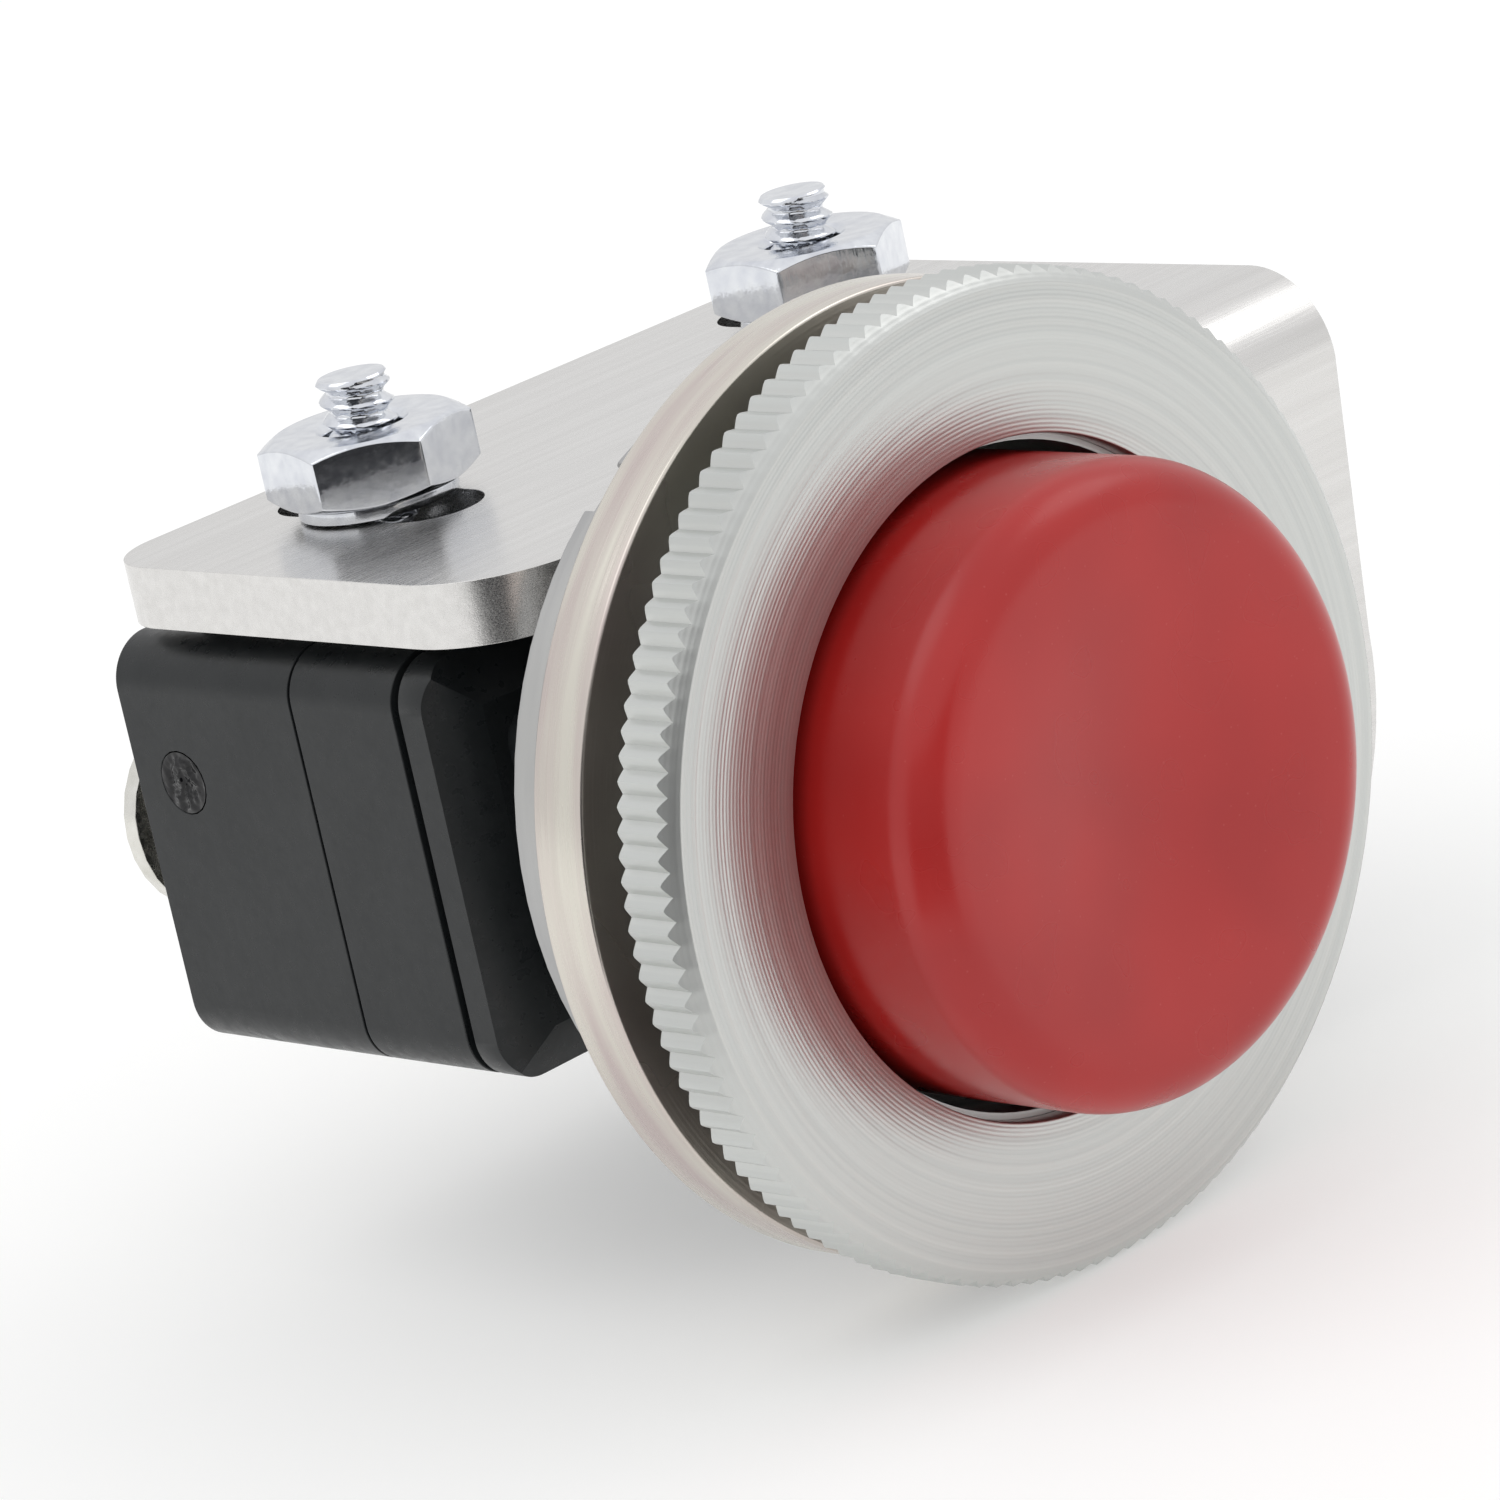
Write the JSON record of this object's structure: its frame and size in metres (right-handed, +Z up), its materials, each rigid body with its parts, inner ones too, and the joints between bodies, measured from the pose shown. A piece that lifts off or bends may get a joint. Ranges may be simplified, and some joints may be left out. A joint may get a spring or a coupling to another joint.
{
  "type": "panel mount push button buzzer switch",
  "caption": "Round red push button in a knurled metal bezel, with an angle bracket behind it that carries a snap-action switch block with screw terminals.",
  "frame": {"origin": "on the button's axis at the bezel's rear face, which meets the front of the panel it clamps to", "axes": "+Y along the button's travel, away from the player (the button faces -Y); +Z up, towards the bracket's plate; +X along the switch, towards the bracket's bend"},
  "size_m": [0.0489, 0.0474, 0.0388],
  "materials": {
    "red_plastic": "semi-gloss moulded",
    "satin_aluminium": "satin, fine turned",
    "pale_zinc": "turned, pale yellow-pink zinc plate",
    "grey_zinc": "turned, grey zinc plate",
    "nickel": "brushed nickel plate",
    "bright_zinc": "bright zinc plate",
    "black_plastic": "satin moulded phenolic",
    "black_resin": "glossy, lumpy resin",
    "white_plastic": "moulded",
    "spring_steel": "drawn wire and pressed strip",
    "brass": "pressed sheet",
    "silver": "nickel and silver"
  },
  "bodies": {
    "housing": {"bezel_ring": "satin_aluminium", "threaded_bushing": "grey_zinc", "return_spring": "spring_steel", "panel_washer": "pale_zinc", "jam_nut": "grey_zinc", "mounting_bracket": "nickel", "mounting_screw_left": "bright_zinc", "mounting_screw_right": "bright_zinc", "lock_washer_left": "bright_zinc", "lock_washer_right": "bright_zinc", "hex_nut_left": "bright_zinc", "hex_nut_right": "bright_zinc", "switch_front_cover": "black_plastic", "switch_middle_case": "black_plastic", "switch_rear_case": "black_plastic", "end_plug": "black_resin", "insulating_sheet": "black_plastic", "overtravel_spring": "spring_steel", "fixed_contact_open": "silver", "fixed_contact_closed": "silver", "terminal_common": "silver", "terminal_open": "silver", "terminal_closed": "silver", "terminal_washer_common": "silver", "terminal_washer_open": "silver", "terminal_washer_closed": "silver", "terminal_screw_common": "silver", "terminal_screw_open": "silver", "terminal_screw_closed": "silver"},
    "button": {"button_cap": "red_plastic", "plunger_stem": "spring_steel", "retaining_clip": "spring_steel"},
    "switch_plunger": {"switch_plunger": "white_plastic"},
    "blade": {"snap_blade": "brass", "moving_contact": "silver"}
  },
  "joints": [
    {"name": "button_press", "type": "slide", "parent": "housing", "child": "button", "axis": [0, 1, 0], "range_m": [0, 0.002], "stiffness_N_per_m": 800, "springref_m": -0.002, "deforming": ["return_spring"]},
    {"name": "switch_plunge", "type": "slide", "parent": "housing", "child": "switch_plunger", "axis": [0, 1, 0], "range_m": [0, 0.002], "deforming": ["overtravel_spring"]},
    {"name": "blade_snap", "type": "hinge", "parent": "housing", "child": "blade", "pos_m": [-0.0091, 0.0201, 0], "axis": [0, 0, 1], "range_deg": [0, 2.1]}
  ],
  "couplings": [
    {"joint": "switch_plunge", "follows": "button_press", "ratio": 1},
    {"joint": "blade_snap", "follows": "button_press", "rad_per_m": 18.3}
  ]
}
